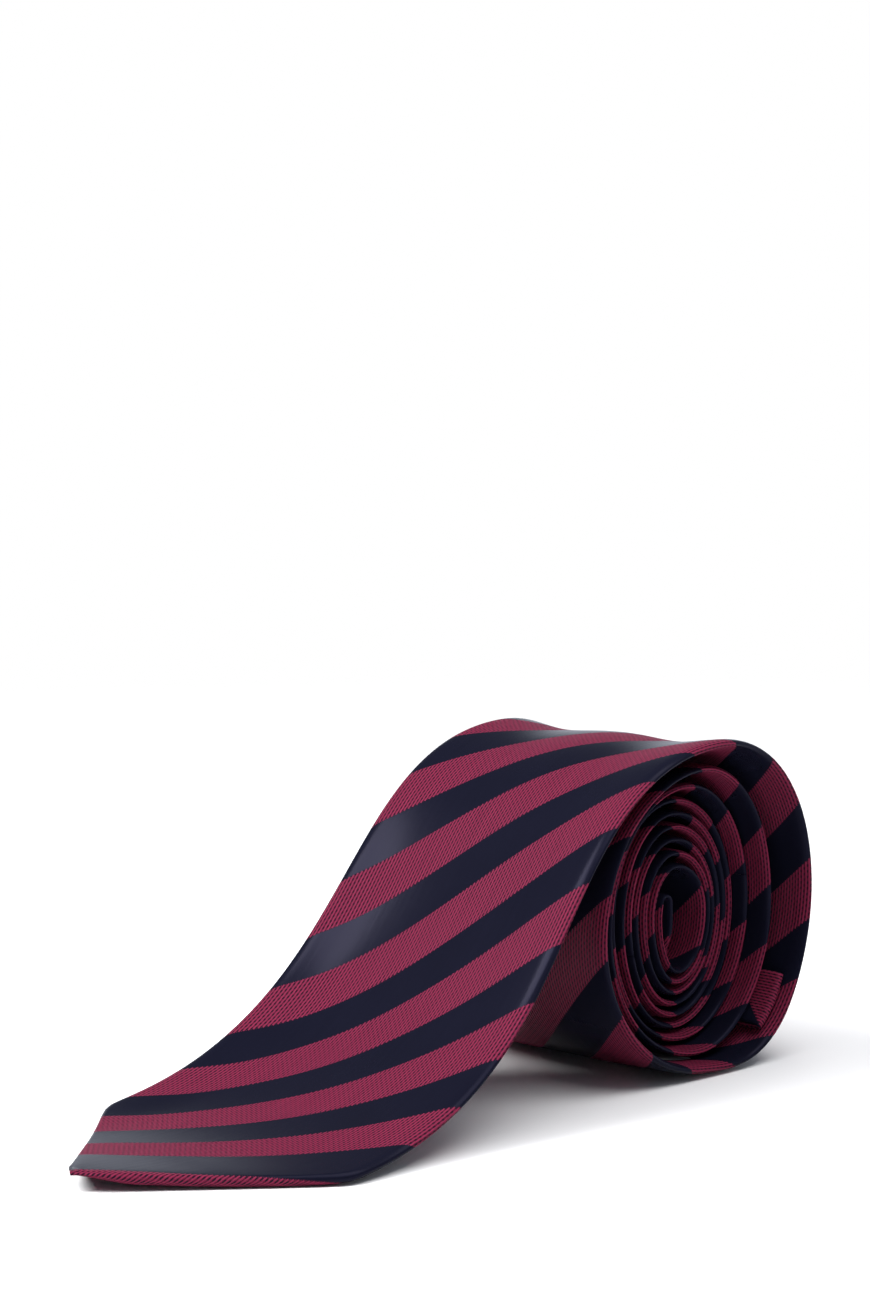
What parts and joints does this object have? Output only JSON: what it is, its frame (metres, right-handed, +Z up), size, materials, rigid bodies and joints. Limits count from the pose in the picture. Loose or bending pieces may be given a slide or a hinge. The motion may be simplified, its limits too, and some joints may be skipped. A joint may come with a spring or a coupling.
{
  "type": "necktie",
  "caption": "Diagonally striped necktie rolled up from its narrow tail, with the wide pointed blade let down from the top of the roll and lying out in front.",
  "frame": {"origin": "under the middle of the rolled tie's bounding box, on the surface that it rests on", "axes": "+Z up; the roll's axis runs along Y; the blade's point lies towards -X and the roll is at +X"},
  "size_m": [0.1868, 0.075, 0.0734],
  "materials": {
    "striped_silk": "woven silk, burgundy twill stripes and navy satin stripes, soft sheen",
    "interlining_wool": "matte brushed wool blend",
    "tipping_lining": "plain lining, low sheen",
    "sewing_thread": "twisted polyester thread",
    "label_tape": "plain woven tape, no lettering"
  },
  "bodies": {
    "root": {"blade_shell": "striped_silk", "neck_shell": "striped_silk", "tail_shell": "striped_silk", "keeper_loop": "striped_silk", "interlining": "interlining_wool", "blade_tipping": "tipping_lining", "tail_tipping": "tipping_lining", "blade_seam_thread": "sewing_thread", "tail_seam_thread": "sewing_thread", "slip_stitch_thread": "sewing_thread", "blade_bar_tack": "sewing_thread", "tail_bar_tack": "sewing_thread", "keeper_tack_thread": "sewing_thread", "care_label": "label_tape"}
  },
  "joints": []
}
